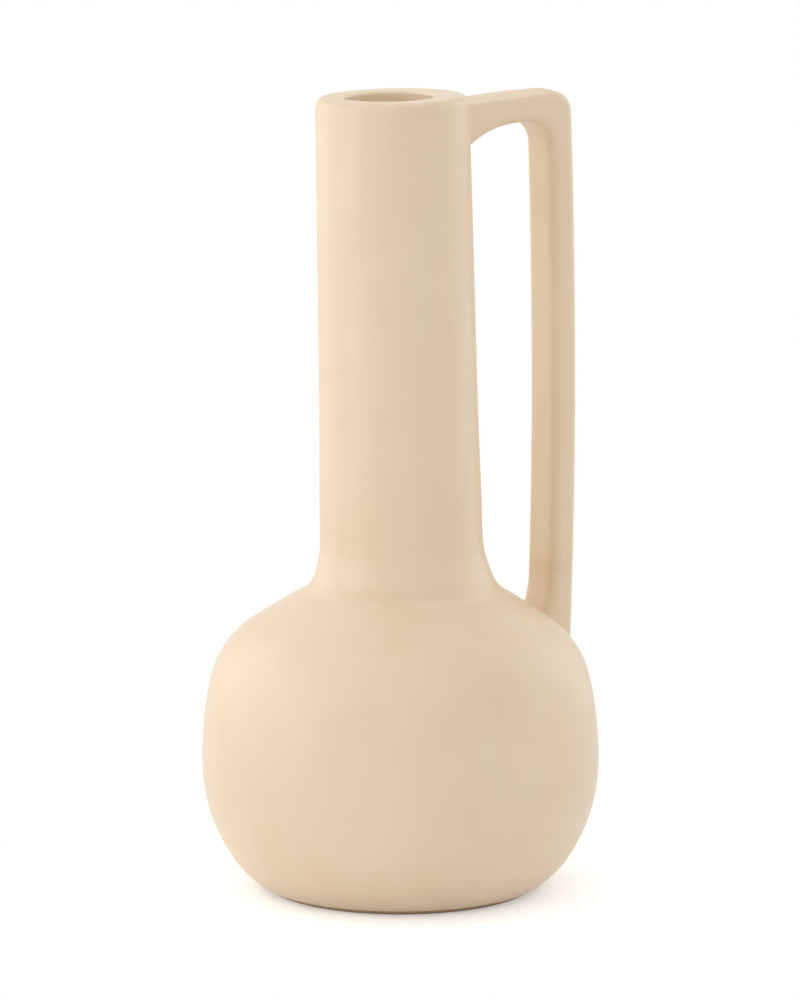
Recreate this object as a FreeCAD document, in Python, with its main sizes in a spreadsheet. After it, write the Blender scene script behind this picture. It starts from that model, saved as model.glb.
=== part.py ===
# Lekythos: a squat round-bellied ceramic bottle with a tall neck that leans a little away
# from its one strap handle, and a thick rounded lip round a narrow mouth.
# Lengths are millimetres and angles are degrees. Z is up, the origin is the middle of the
# foot's underside, and the handle stands on the +X side, so XZ is the plane of symmetry.
import FreeCAD, Part
import math
import os
import Sketcher
from FreeCAD import Placement, Rotation, Vector

SIZES = {
    # Belly: five tangent arcs, from the foot up to the root of the neck. The two under its
    # widest place have radii that are shares of that place's height.
    "belly_radius": 75.0,
    "belly_height": 48.2,
    "heel_share": 0.8237,
    "lower_share": 1.3112,
    "lower_sweep": 33.6,
    "side_radius": 126.0,
    "side_sweep": 15.6,
    "corner_radius": 35.2,
    "corner_sweep": 38.9,
    "dome_radius": 148.7,
    "belly_wall": 6.0,
    "floor_height": 9.5,
    # Neck: a slow taper about an axis that leans and crosses the belly's axis at the pivot.
    "mouth_height": 300.0,
    "pivot_height": 148.0,
    "neck_lean": 1.4,
    "neck_sink": 16.3,
    "neck_foot_radius": 30.4,
    "neck_top_radius": 28.4,
    "neck_wall": 7.0,
    "root_fillet": 24.0,
    # Mouth: a deep ring whose narrow bore widens below into the neck.
    "mouth_depth": 30.0,
    "bore_radius": 17.0,
    "bore_length": 12.0,
    "lip_round": 3.0,
    "bore_round": 2.0,
    # Foot ring, with the bowl's underside recessed inside it.
    "foot_height": 2.2,
    "foot_width": 9.0,
    "foot_recess": 2.8,
    "tongue_width": 5.0,
    "tongue_height": 4.6,
    # Half laps where the thrown sections sit in each other.
    "belly_lap": 4.0,
    "neck_seam_radius": 45.0,
    "neck_lap": 4.0,
    "mouth_lap": 4.0,
    # Strap handle: an arm, a rounded elbow and a leg with a slight outward bow.
    "leg_inset": 0.3,
    "leg_bow_radius": 2450.0,
    "leg_bow_height": 180.0,
    "strap_thickness": 10.8,
    "strap_width": 19.4,
    "strap_edge": 4.2,
    "arm_drop": 4.6,
    "arm_rise": 3.5,
    "elbow_radius": 9.0,
    # The arcs under the arm, as shares of the gap between neck and leg.
    "armpit_share": 0.257,
    "gusset_share": 0.992,
    "gusset_toe_share": 0.104,
    "gusset_toe_sweep": 55.0,
    "flare_radius": 4.5,
    "seat_depth": 1.2,
    # Glaze on the inside, which makes the clay hold liquid.
    "glaze": 0.5,
    # How far a cutting form runs past what it cuts.
    "overrun": 5.0,
}

FULL_TURN = 360.0
# A point closer than this to a line or a circle lies on it.
TOUCH = 1e-4

document = FreeCAD.newDocument("lekythos")


class Measure:
    """A number that keeps the sheet formula which it was worked out with."""

    def __init__(self, value, rule):
        self.value = float(value)
        self.rule = rule

    def __float__(self):
        return self.value

    def __add__(self, other):
        return combined(self, "+", other, self.value + float(other))

    def __radd__(self, other):
        return combined(other, "+", self, float(other) + self.value)

    def __sub__(self, other):
        return combined(self, "-", other, self.value - float(other))

    def __rsub__(self, other):
        return combined(other, "-", self, float(other) - self.value)

    def __mul__(self, other):
        return combined(self, "*", other, self.value * float(other))

    def __truediv__(self, other):
        return combined(self, "/", other, self.value / float(other))

    def __neg__(self):
        return Measure(-self.value, "(0 - %s)" % self.rule)


def rule_of(number):
    """The formula of a measure, or the digits of a plain number."""
    return number.rule if isinstance(number, Measure) else repr(number)


def combined(first, sign, second, value):
    """The measure that two numbers make together."""
    return Measure(value, "(%s %s %s)" % (rule_of(first), sign, rule_of(second)))


def cosine(angle):
    """Cosine of an angle in degrees."""
    return Measure(math.cos(math.radians(float(angle))), "cos(%s)" % rule_of(angle))


def sine(angle):
    """Sine of an angle in degrees."""
    return Measure(math.sin(math.radians(float(angle))), "sin(%s)" % rule_of(angle))


def squared(number):
    """A measure times itself."""
    return Measure(float(number) ** 2, "(%s)^2" % rule_of(number))


def root(number):
    """Square root of a measure."""
    return Measure(math.sqrt(float(number)), "sqrt(%s)" % rule_of(number))


def make_sheet():
    """Write the driving sizes into a spreadsheet, one named cell each."""
    sheet = document.addObject("Spreadsheet::Sheet", "sizes")
    for row, (alias, value) in enumerate(SIZES.items(), start=1):
        sheet.set("A%d" % row, alias)
        sheet.set("B%d" % row, repr(value))
        sheet.setAlias("B%d" % row, alias)
    document.recompute()
    return sheet


class Sizes:
    """The driving sizes, read back from their sheet."""

    def __init__(self, sheet):
        for alias in SIZES:
            setattr(self, alias, Measure(getattr(sheet, alias), "sizes." + alias))


size = Sizes(make_sheet())


def polar(centre, radius, angle):
    """The point of a circle at an angle in degrees."""
    return (centre[0] + radius * cosine(angle), centre[1] + radius * sine(angle))


def bearing(centre, point):
    """The angle in degrees at which a centre sees a point."""
    rise = float(point[1]) - float(centre[1])
    reach = float(point[0]) - float(centre[0])
    return math.degrees(math.atan2(rise, reach))


def meeting(first, first_radius, second, second_radius):
    """Where two circles cross, on the left of the way from one centre to the other."""
    start = Vector(float(first[0]), float(first[1]), 0)
    way = Vector(float(second[0]), float(second[1]), 0) - start
    gap = way.Length
    way.normalize()
    along = (gap + (float(first_radius) ** 2 - float(second_radius) ** 2) / gap) / 2
    aside = math.sqrt(float(first_radius) ** 2 - along ** 2)
    point = start + way * along + Vector(-way.y, way.x, 0) * aside
    return (point.x, point.y)


class Outline:
    """A closed chain of lines and arcs in a body's upright plane, tied to the sizes."""

    def __init__(self, body, name):
        self.sketch = body.newObject("Sketcher::SketchObject", name)
        planes = [part for part in body.Origin.OriginFeatures if part.Role == "XZ_Plane"]
        self.sketch.AttachmentSupport = [(planes[0], "")]
        self.sketch.MapMode = "FlatFace"
        self.steps = []

    def line(self, start, end):
        """A straight step of the chain."""
        index = self.sketch.addGeometry(Part.LineSegment(flat(start), flat(end)))
        self.steps.append((index, 1, 2))
        return index

    def arc(self, centre, radius, first, last):
        """A round step of the chain, from one angle to another, tied to its radius."""
        circle = Part.Circle(flat(centre), Vector(0, 0, 1), float(radius))
        low, high = sorted((math.radians(float(first)), math.radians(float(last))))
        index = self.sketch.addGeometry(Part.ArcOfCircle(circle, low, high))
        self.steps.append((index, 1, 2) if float(last) > float(first) else (index, 2, 1))
        self.tie("Radius", (index,), radius)
        return index

    def guide(self, centre, radius):
        """A circle that only guides the outline."""
        circle = Part.Circle(flat(centre), Vector(0, 0, 1), float(radius))
        index = self.sketch.addGeometry(circle, True)
        self.tie("Radius", (index,), radius)
        self.pin(index, 3, centre[0], centre[1])
        return index

    def guide_line(self, start, end):
        """A straight line that only guides the outline."""
        index = self.sketch.addGeometry(Part.LineSegment(flat(start), flat(end)), True)
        self.pin(index, 1, *start)
        self.pin(index, 2, *end)
        return index

    def tie(self, kind, parts, measure):
        """Hold a distance, radius or angle at a measure."""
        value = math.radians(float(measure)) if kind == "Angle" else float(measure)
        number = self.sketch.addConstraint(Sketcher.Constraint(kind, *parts, value))
        self.sketch.setExpression("Constraints[%d]" % number, rule_of(measure))

    def relate(self, kind, *parts):
        """Hold a relation that has no value."""
        self.sketch.addConstraint(Sketcher.Constraint(kind, *parts))

    def pin(self, index, end, reach=None, height=None):
        """Hold a point at a distance from the upright axis and at a height."""
        for kind, measure, axis in (("DistanceX", reach, -2), ("DistanceY", height, -1)):
            if measure is None:
                continue
            if float(measure) == 0:
                self.relate("PointOnObject", index, end, axis)
            elif float(measure) > 0:
                self.tie(kind, (-1, 1, index, end), measure)
            else:
                self.tie(kind, (index, end, -1, 1), -measure)

    def close(self, smooth=()):
        """Join every step to the next, smoothly after the steps that are named."""
        for step, after in zip(self.steps, self.steps[1:] + self.steps[:1]):
            kind = "Tangent" if step[0] in smooth else "Coincident"
            self.relate(kind, step[0], step[2], after[0], after[1])

    def polygon(self, corners):
        """A closed outline through corners, each held at its own place."""
        for start, end in zip(corners, corners[1:] + corners[:1]):
            index = self.line(start, end)
            self.pin(index, 1, *start)
        self.close()


def flat(point):
    """A point of an outline as a vector."""
    return Vector(float(point[0]), float(point[1]), 0)


def turned_body(name, draw, *details):
    """A body that is one outline turned about the upright axis."""
    body = document.addObject("PartDesign::Body", name)
    outline = Outline(body, name + "_outline")
    draw(outline, *details)
    turning = body.newObject("PartDesign::Revolution", name + "_turning")
    turning.Profile = outline.sketch
    turning.ReferenceAxis = (outline.sketch, ["V_Axis"])
    turning.Angle = FULL_TURN
    document.recompute()
    return body


def leaned(body):
    """Stand a body on the pivot and lean it with the neck, away from the handle."""
    body.Placement = Placement(Vector(0, 0, 0), Rotation(Vector(0, 1, 0), -float(size.neck_lean)))
    body.setExpression("Placement.Base.z", size.pivot_height.rule)
    body.setExpression("Placement.Rotation.Angle", (-size.neck_lean).rule)
    document.recompute()
    return body


def joined(kind, name, first, second):
    """A boolean of two objects: a Fuse, a Cut or a Common."""
    result = document.addObject("Part::" + kind, name)
    result.Base = first
    result.Tool = second
    document.recompute()
    return result


class BellyProfile:
    """Centres of the belly's arcs, and how far out or up the arcs are."""

    def __init__(self):
        self.lower_radius = size.belly_height * size.lower_share
        self.heel_radius = size.belly_height * size.heel_share
        self.lower = (size.belly_radius - self.lower_radius, size.belly_height)
        self.heel = polar(self.lower, self.lower_radius - self.heel_radius, -size.lower_sweep)
        self.side = (size.belly_radius - size.side_radius, size.belly_height)
        self.corner = polar(self.side, size.side_radius - size.corner_radius, size.side_sweep)
        self.dome_turn = size.side_sweep + size.corner_sweep
        self.dome = polar(self.corner, size.corner_radius - size.dome_radius, self.dome_turn)

    def heel_reach(self, height, inset):
        """Distance of the heel arc from the axis at a height."""
        radius = self.heel_radius - inset
        return self.heel[0] + root(squared(radius) - squared(height - self.heel[1]))

    def dome_height(self, reach, inset):
        """Height of the dome arc at a distance from the axis."""
        radius = size.dome_radius - inset
        return self.dome[1] + root(squared(radius) - squared(reach - self.dome[0]))


belly = BellyProfile()


# Heights along the neck's own axis, from the pivot: its top, its lower end in the belly
# and the seam of the mouth's ring.
NECK_TOP = size.mouth_height - size.pivot_height
NECK_END = belly.dome_height(size.neck_foot_radius, 0.0) - size.neck_sink - size.pivot_height
MOUTH_SEAM = NECK_TOP - size.mouth_depth
# Limits that no form reaches.
ABOVE_ALL = size.mouth_height + size.overrun
BESIDE_ALL = size.belly_radius + size.overrun


def neck_radius(rise, inset):
    """Radius of the neck's taper at a distance up its own axis from the pivot."""
    share = (rise - NECK_END) / (NECK_TOP - NECK_END)
    shrink = (size.neck_foot_radius - size.neck_top_radius) * share
    return size.neck_foot_radius - shrink - inset


def draw_belly(outline, inset, base):
    """Half of the belly, drawn in from its surface by an inset and down to a base."""
    foot = (belly.heel_reach(base, inset), base)
    top = (0.0, belly.dome_height(0.0, inset))
    turn = -size.lower_sweep
    floor = outline.line((0.0, base), foot)
    heel = outline.arc(belly.heel, belly.heel_radius - inset, bearing(belly.heel, foot), turn)
    lower = outline.arc(belly.lower, belly.lower_radius - inset, turn, 0.0)
    side = outline.arc(belly.side, size.side_radius - inset, 0.0, size.side_sweep)
    corner = outline.arc(
        belly.corner, size.corner_radius - inset, size.side_sweep, belly.dome_turn)
    dome = outline.arc(
        belly.dome, size.dome_radius - inset, belly.dome_turn, bearing(belly.dome, top))
    axis = outline.line(top, (0.0, base))
    outline.close(smooth=(heel, lower, side, corner))
    outline.relate("Horizontal", floor)
    outline.relate("Vertical", axis)
    outline.pin(floor, 1, 0.0, base)
    outline.pin(lower, 2, size.belly_radius - inset, size.belly_height)
    outline.relate("Horizontal", lower, 3, lower, 2)
    outline.tie("Angle", (lower,), size.lower_sweep)
    outline.tie("Angle", (side,), size.side_sweep)
    outline.tie("Angle", (corner,), size.corner_sweep)


def draw_neck(outline):
    """Half of the neck outside, with the lip rounded at the top."""
    foot = (size.neck_foot_radius, NECK_END)
    centre = (size.neck_top_radius - size.lip_round, NECK_TOP - size.lip_round)
    crown = (centre[0], NECK_TOP)
    base = outline.line((0.0, NECK_END), foot)
    side = outline.line(foot, (size.neck_top_radius, centre[1]))
    lip = outline.arc(centre, size.lip_round, 0.0, FULL_TURN / 4)
    top = outline.line(crown, (0.0, NECK_TOP))
    axis = outline.line((0.0, NECK_TOP), (0.0, NECK_END))
    outline.close(smooth=(side, lip))
    outline.relate("Vertical", axis)
    outline.relate("Horizontal", top)
    outline.pin(base, 1, 0.0, NECK_END)
    outline.pin(base, 2, *foot)
    outline.pin(top, 2, height=NECK_TOP)
    taper = outline.guide_line(foot, (size.neck_top_radius, NECK_TOP))
    outline.relate("PointOnObject", side, 2, taper)


def draw_tapered_core(outline, inset, top):
    """Half of a plain core of the neck, drawn in by an inset and up to a height."""
    outline.polygon([
        (0.0, NECK_END),
        (size.neck_foot_radius - inset, NECK_END),
        (neck_radius(top, inset), top),
        (0.0, top),
    ])


def draw_throat(outline):
    """Half of the hollow in the neck and mouth: taper, cone, bore and rounded edge."""
    cone_foot = MOUTH_SEAM + size.mouth_lap + size.mouth_lap
    bore_foot = NECK_TOP - size.bore_length
    edge = (size.bore_radius + size.bore_round, NECK_TOP - size.bore_round)
    above = NECK_TOP + size.overrun
    corners = [
        (0.0, NECK_END),
        (size.neck_foot_radius - size.neck_wall, NECK_END),
        (neck_radius(cone_foot, size.neck_wall), cone_foot),
        (size.bore_radius, bore_foot),
        (size.bore_radius, edge[1]),
    ]
    for start, end in zip(corners, corners[1:]):
        outline.pin(outline.line(start, end), 1, *start)
    rounding = outline.arc(edge, size.bore_round, FULL_TURN / 2, FULL_TURN / 4)
    outline.pin(rounding, 3, *edge)
    outline.relate("Horizontal", rounding, 3, rounding, 2)
    outline.relate("Vertical", rounding, 3, rounding, 1)
    chimney = outline.line((edge[0], NECK_TOP), (edge[0], above))
    outline.relate("Vertical", chimney)
    lid = outline.line((edge[0], above), (0.0, above))
    outline.relate("Horizontal", lid)
    outline.pin(lid, 2, 0.0, above)
    outline.line((0.0, above), (0.0, NECK_END))
    outline.close()


def rounded_root(name, sharp, inset):
    """Round the angle between belly and neck where the two forms meet."""
    found = []
    for number, edge in enumerate(sharp.Shape.Edges, start=1):
        place = edge.valueAt((edge.FirstParameter + edge.LastParameter) / 2)
        reach = math.hypot(place.x, place.y)
        tilt = math.radians(float(size.neck_lean))
        along = place - Vector(0, 0, float(size.pivot_height))
        rise = along.z * math.cos(tilt) - along.x * math.sin(tilt)
        aside = Vector(along.x * math.cos(tilt) + along.z * math.sin(tilt), along.y, 0).Length
        on_neck = abs(aside - float(neck_radius(rise, inset[1]))) < TOUCH
        on_dome = abs(place.z - float(belly.dome_height(reach, inset[0]))) < TOUCH
        if on_neck and on_dome:
            found.append(number)
    fillet = document.addObject("Part::Fillet", name)
    fillet.Base = sharp
    radius = float(size.root_fillet + inset[0])
    fillet.Edges = [(number, radius, radius) for number in found]
    document.recompute()
    return fillet


def outer_form():
    """The whole vessel as a solid, without its handle."""
    body = turned_body("belly_outside", draw_belly, 0.0, 0.0)
    neck = leaned(turned_body("neck_outside", draw_neck))
    sharp = joined("Fuse", "outside_sharp", body, neck)
    return rounded_root("outside", sharp, (0.0, 0.0))


def hollow_form():
    """The space inside the walls, open at the mouth."""
    body = turned_body("belly_hollow", draw_belly, size.belly_wall, size.floor_height)
    throat = leaned(turned_body("throat", draw_throat))
    sharp = joined("Fuse", "hollow_sharp", body, throat)
    return rounded_root("hollow", sharp, (size.belly_wall, size.neck_wall))


def liquid_form():
    """The space that is left inside the glaze, up to above the mouth's seam."""
    belly_inset = size.belly_wall + size.glaze
    neck_inset = size.neck_wall + size.glaze
    top = MOUTH_SEAM + size.mouth_lap + size.overrun
    body = turned_body("belly_liquid", draw_belly, belly_inset, size.floor_height + size.glaze)
    neck = leaned(turned_body("neck_liquid", draw_tapered_core, neck_inset, top))
    sharp = joined("Fuse", "liquid_sharp", body, neck)
    return rounded_root("liquid", sharp, (belly_inset, neck_inset))


def draw_above_belly_seam(outline):
    """The region over the belly's half lap: the lower section's tongue is inside."""
    low = size.belly_height - size.belly_lap / 2
    high = size.belly_height + size.belly_lap / 2
    middle = size.belly_radius - size.belly_wall / 2
    outline.polygon([
        (0.0, high),
        (middle, high),
        (middle, low),
        (BESIDE_ALL, low),
        (BESIDE_ALL, ABOVE_ALL),
        (0.0, ABOVE_ALL),
    ])


def draw_inside_neck_seam(outline):
    """The region round the neck: its flange rests on a ledge in the shoulder."""
    inner = size.neck_seam_radius - size.neck_lap
    middle = size.neck_seam_radius - size.neck_lap / 2
    ledge = belly.dome_height(middle, size.belly_wall / 2)
    outline.polygon([
        (0.0, size.belly_height),
        (inner, size.belly_height),
        (inner, ledge),
        (size.neck_seam_radius, ledge),
        (size.neck_seam_radius, ABOVE_ALL),
        (0.0, ABOVE_ALL),
    ])


def draw_above_mouth_seam(outline):
    """The region over the mouth's half lap: the neck's tongue is inside."""
    high = MOUTH_SEAM + size.mouth_lap
    middle = neck_radius(MOUTH_SEAM, size.neck_wall / 2)
    beside = size.neck_foot_radius + size.overrun
    above = NECK_TOP + size.overrun
    outline.polygon([
        (0.0, high),
        (middle, high),
        (middle, MOUTH_SEAM),
        (beside, MOUTH_SEAM),
        (beside, above),
        (0.0, above),
    ])


def foot_corners():
    """Distances of the foot ring's inner wall and of its tongue's outer wall."""
    inner = belly.heel_reach(0.0, 0.0) - size.foot_width
    return inner, inner + size.tongue_width


def draw_foot_ring(outline):
    """Half of the foot ring, with a tongue on top that fits a groove in the bowl."""
    inner, tongue = foot_corners()
    outline.polygon([
        (inner, 0.0),
        (BESIDE_ALL, 0.0),
        (BESIDE_ALL, size.foot_height),
        (tongue, size.foot_height),
        (tongue, size.tongue_height),
        (inner, size.tongue_height),
    ])


def draw_under_bowl(outline):
    """The region under the bowl: the foot ring and the recess within it."""
    inner, tongue = foot_corners()
    outline.polygon([
        (0.0, -size.overrun),
        (BESIDE_ALL, -size.overrun),
        (BESIDE_ALL, size.foot_height),
        (tongue, size.foot_height),
        (tongue, size.tongue_height),
        (inner, size.tongue_height),
        (inner, size.foot_recess),
        (0.0, size.foot_recess),
    ])


def arm_line(depth, reach):
    """Height of a line along the arm, at a depth under its top and a distance from the axis."""
    rise = math.radians(float(size.arm_rise))
    start = float(size.mouth_height - size.arm_drop)
    return start + reach * math.tan(rise) - float(depth) / math.cos(rise)


def arm_line_and_circle(depth, centre, radius):
    """Where a line along the arm leaves a circle on the handle's side."""
    reach = float(centre[0])
    slope = math.tan(math.radians(float(size.arm_rise)))
    offset = arm_line(depth, reach) - float(centre[1])
    stretch = 1 + slope ** 2
    half = offset * slope
    across = math.sqrt(half ** 2 - stretch * (offset ** 2 - float(radius) ** 2))
    place = reach + (across - half) / stretch
    return (place, arm_line(depth, place))


class StrapCentres:
    """Centres of the strap's arcs, and where its ends meet the neck and the dome."""

    def __init__(self):
        self.bow = (
            size.belly_radius - size.leg_inset - size.leg_bow_radius, size.leg_bow_height)
        self.inner_radius = size.leg_bow_radius - size.strap_thickness
        # The gusset starts where the neck's wall is at the mouth's seam.
        self.wall = (
            neck_radius(MOUTH_SEAM, 0.0) * cosine(size.neck_lean)
            - MOUTH_SEAM * sine(size.neck_lean))
        gap = self.bow[0] + self.inner_radius - self.wall
        self.armpit_radius = gap * size.armpit_share
        self.gusset_radius = gap * size.gusset_share
        self.toe_radius = gap * size.gusset_toe_share
        self.elbow = arm_line_and_circle(
            size.elbow_radius, self.bow, size.leg_bow_radius - size.elbow_radius)
        self.armpit = arm_line_and_circle(
            size.strap_thickness + self.armpit_radius,
            self.bow, self.inner_radius - self.armpit_radius)
        self.flare = meeting(
            self.bow, self.inner_radius - size.flare_radius,
            belly.dome, size.dome_radius + size.flare_radius)
        self.landing = polar(self.flare, size.flare_radius, bearing(self.flare, belly.dome))
        self.sole = meeting(self.bow, size.leg_bow_radius, belly.side, size.side_radius)
        self.gusset_turn = FULL_TURN / 2 - size.gusset_toe_sweep
        step = self.gusset_radius - self.toe_radius
        reach = self.wall + self.toe_radius - step * cosine(self.gusset_turn)
        depth = size.strap_thickness + self.gusset_radius
        self.gusset = (reach, arm_line(depth, float(reach)))
        self.gusset_toe = polar(self.gusset, step, self.gusset_turn)


strap_centres = StrapCentres()


def draw_strap_chain(outline):
    """The strap from the side, drawn round from the ledge under its root."""
    at = strap_centres
    along = FULL_TURN / 4 + size.arm_rise
    reach = size.neck_top_radius / 2
    ledge = (reach, at.gusset_toe[1])
    crown = (reach, arm_line(0.0, float(reach)))
    corner = (at.landing[0], at.sole[1])
    flare_start = bearing(at.bow, at.flare)
    flare_end = bearing(at.flare, belly.dome)
    armpit_end = bearing(at.bow, at.armpit)
    elbow_start = bearing(at.bow, at.elbow)
    return {
        "ledge": outline.line(ledge, (at.wall, ledge[1])),
        "toe": outline.arc(at.gusset_toe, at.toe_radius, FULL_TURN / 2, at.gusset_turn),
        "gusset": outline.arc(at.gusset, at.gusset_radius, at.gusset_turn, along),
        "under": outline.line(
            polar(at.gusset, at.gusset_radius, along),
            polar(at.armpit, at.armpit_radius, along)),
        "armpit": outline.arc(at.armpit, at.armpit_radius, along, armpit_end),
        "leg_in": outline.arc(at.bow, at.inner_radius, armpit_end, 0.0),
        "leg_in_low": outline.arc(at.bow, at.inner_radius, 0.0, flare_start),
        "flare": outline.arc(at.flare, size.flare_radius, flare_start, flare_end),
        "drop": outline.line(at.landing, corner),
        "sole": outline.line(corner, at.sole),
        "leg_out_low": outline.arc(
            at.bow, size.leg_bow_radius, bearing(at.bow, at.sole), 0.0),
        "leg_out": outline.arc(at.bow, size.leg_bow_radius, 0.0, elbow_start),
        "elbow": outline.arc(at.elbow, size.elbow_radius, elbow_start, along),
        "top": outline.line(polar(at.elbow, size.elbow_radius, along), crown),
        "back": outline.line(crown, ledge),
    }


def draw_strap(outline):
    """The strap's chain, held to the neck, to the belly and to its own sizes."""
    step = draw_strap_chain(outline)
    reach = size.neck_top_radius / 2
    climb = reach * sine(size.arm_rise) / cosine(size.arm_rise)
    smooth = (
        "toe", "gusset", "under", "armpit", "leg_in", "leg_in_low", "leg_out_low", "leg_out",
        "elbow")
    outline.close(smooth=[step[name] for name in smooth])
    dome = outline.guide(belly.dome, size.dome_radius)
    side = outline.guide(belly.side, size.side_radius)
    outline.relate("Tangent", step["flare"], 1, dome)
    outline.relate("PointOnObject", step["leg_out_low"], 1, side)
    outline.relate("Horizontal", step["ledge"])
    outline.relate("Horizontal", step["sole"])
    outline.relate("Vertical", step["drop"])
    outline.relate("Vertical", step["back"])
    outline.relate("Horizontal", step["toe"], 3, step["toe"], 2)
    outline.relate("Coincident", step["leg_in"], 3, step["leg_out"], 3)
    for name in ("leg_in", "leg_out"):
        outline.relate("Horizontal", step[name], 3, step[name], 1)
    outline.relate("Parallel", step["under"], step["top"])
    outline.pin(step["ledge"], 1, reach=reach)
    outline.pin(step["top"], 2, height=size.mouth_height - size.arm_drop + climb)
    outline.pin(step["toe"], 2, reach=strap_centres.wall)
    outline.pin(step["leg_out"], 3, *strap_centres.bow)
    outline.tie("Angle", (step["toe"],), size.gusset_toe_sweep)
    outline.tie("Angle", (step["under"],), size.arm_rise)
    outline.tie("Distance", (step["under"], 1, step["top"]), size.strap_thickness)


def long_edges(shape):
    """Names of the strap's long edges, without those inside the neck or the belly."""
    wall = float(strap_centres.wall) + TOUCH
    landing = float(strap_centres.landing[1]) + TOUCH
    found = []
    for number, edge in enumerate(shape.Edges, start=1):
        ends = [vertex.Point for vertex in edge.Vertexes]
        across = abs(ends[0].y - ends[-1].y) > TOUCH
        in_neck = all(end.x < wall for end in ends)
        in_belly = all(end.z < landing for end in ends)
        if not across and not in_neck and not in_belly:
            found.append("Edge%d" % number)
    return found


def strap():
    """The handle before its ends are fitted: a padded outline with softened long edges."""
    body = document.addObject("PartDesign::Body", "strap")
    outline = Outline(body, "strap_outline")
    draw_strap(outline)
    pad = body.newObject("PartDesign::Pad", "strap_pad")
    pad.Profile = outline.sketch
    pad.Midplane = True
    pad.setExpression("Length", size.strap_width.rule)
    document.recompute()
    rounding = body.newObject("PartDesign::Fillet", "strap_edges")
    rounding.Base = (pad, long_edges(pad.Shape))
    rounding.setExpression("Radius", size.strap_edge.rule)
    document.recompute()
    return body


def fitted_handle():
    """The handle with both ends cut to the shallow seats that it is pressed into."""
    belly_seat = turned_body("belly_seat", draw_belly, size.seat_depth, 0.0)
    neck_seat = leaned(turned_body(
        "neck_seat", draw_tapered_core, size.seat_depth, NECK_TOP + size.overrun))
    at_foot = joined("Cut", "handle_at_foot", strap(), belly_seat)
    return joined("Cut", "handle", at_foot, neck_seat)


def build():
    """Make every piece of the vessel and return them by name."""
    outside = outer_form()
    hollow = hollow_form()
    clay = joined("Cut", "clay", outside, hollow)
    upper = turned_body("upper_region", draw_above_belly_seam)
    middle = turned_body("neck_region", draw_inside_neck_seam)
    mouth = leaned(turned_body("mouth_region", draw_above_mouth_seam))
    under = turned_body("under_region", draw_under_bowl)
    ring = turned_body("ring_region", draw_foot_ring)
    handle = fitted_handle()

    lower_clay = joined("Cut", "lower_clay", clay, upper)
    bowl = joined("Cut", "bowl", lower_clay, under)
    foot = joined("Common", "foot_ring", outside, ring)
    upper_clay = joined("Common", "upper_clay", clay, upper)
    shoulder_ring = joined("Cut", "shoulder_ring", upper_clay, middle)
    shoulder = joined("Cut", "shoulder", shoulder_ring, handle)
    neck_clay = joined("Common", "neck_clay", clay, middle)
    neck = joined("Cut", "neck", neck_clay, mouth)
    mouth_clay = joined("Common", "mouth_clay", clay, mouth)
    rim = joined("Cut", "mouth_rim", mouth_clay, handle)
    coat = joined("Cut", "glaze_coat", hollow, liquid_form())
    lining = joined("Cut", "glaze_lining", coat, mouth)
    return [foot, bowl, shoulder, neck, rim, handle, lining]


def check(pieces):
    """Stop if anything in the document failed or a piece is not one sound solid."""
    for thing in document.Objects:
        if "Invalid" in thing.State or "Error" in thing.State:
            raise RuntimeError("%s failed: %s" % (thing.Name, thing.State))
        if thing.isDerivedFrom("Sketcher::SketchObject") and not thing.FullyConstrained:
            raise RuntimeError("%s is not fully held" % thing.Name)
    for piece in pieces:
        if piece.Shape.isNull() or not piece.Shape.isValid():
            raise RuntimeError("%s has no valid shape" % piece.Label)
        if len(piece.Shape.Solids) != 1:
            raise RuntimeError("%s is %d solids" % (piece.Label, len(piece.Shape.Solids)))


def main():
    """Build, check and write every piece."""
    pieces = build()
    document.recompute()
    check(pieces)
    os.makedirs("parts", exist_ok=True)
    for piece in pieces:
        box = piece.Shape.BoundBox
        print("%-13s %9.0f mm3  z %7.2f to %7.2f  x %7.2f to %7.2f" % (
            piece.Label, piece.Shape.Volume, box.ZMin, box.ZMax, box.XMin, box.XMax))
        piece.Shape.exportStep("parts/%s.step" % piece.Label)


main()
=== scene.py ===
"""The lekythos as fired and glazed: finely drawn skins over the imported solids, with soft luted
joints where the strap handle meets the mouth ring and the shoulder, glazes, bare clay, a plain
studio and the camera of the photograph. Lengths are metres."""
import math

import bpy
import numpy as np
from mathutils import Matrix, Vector

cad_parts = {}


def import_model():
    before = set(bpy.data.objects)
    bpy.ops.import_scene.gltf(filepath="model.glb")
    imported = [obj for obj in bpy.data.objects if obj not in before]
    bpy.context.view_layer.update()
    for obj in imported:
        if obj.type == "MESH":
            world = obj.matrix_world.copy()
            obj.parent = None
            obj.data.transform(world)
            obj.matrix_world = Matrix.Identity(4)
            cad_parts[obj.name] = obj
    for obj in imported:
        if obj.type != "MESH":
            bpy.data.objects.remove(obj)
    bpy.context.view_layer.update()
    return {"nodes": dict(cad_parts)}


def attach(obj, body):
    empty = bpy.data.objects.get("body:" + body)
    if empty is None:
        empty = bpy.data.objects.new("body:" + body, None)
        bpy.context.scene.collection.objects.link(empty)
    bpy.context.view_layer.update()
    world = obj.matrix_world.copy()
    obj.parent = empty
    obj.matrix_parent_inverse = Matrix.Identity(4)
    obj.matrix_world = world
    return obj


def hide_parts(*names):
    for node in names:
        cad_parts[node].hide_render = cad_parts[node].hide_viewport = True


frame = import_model()

MM = 0.001
TURN = 2 * math.pi

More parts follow.
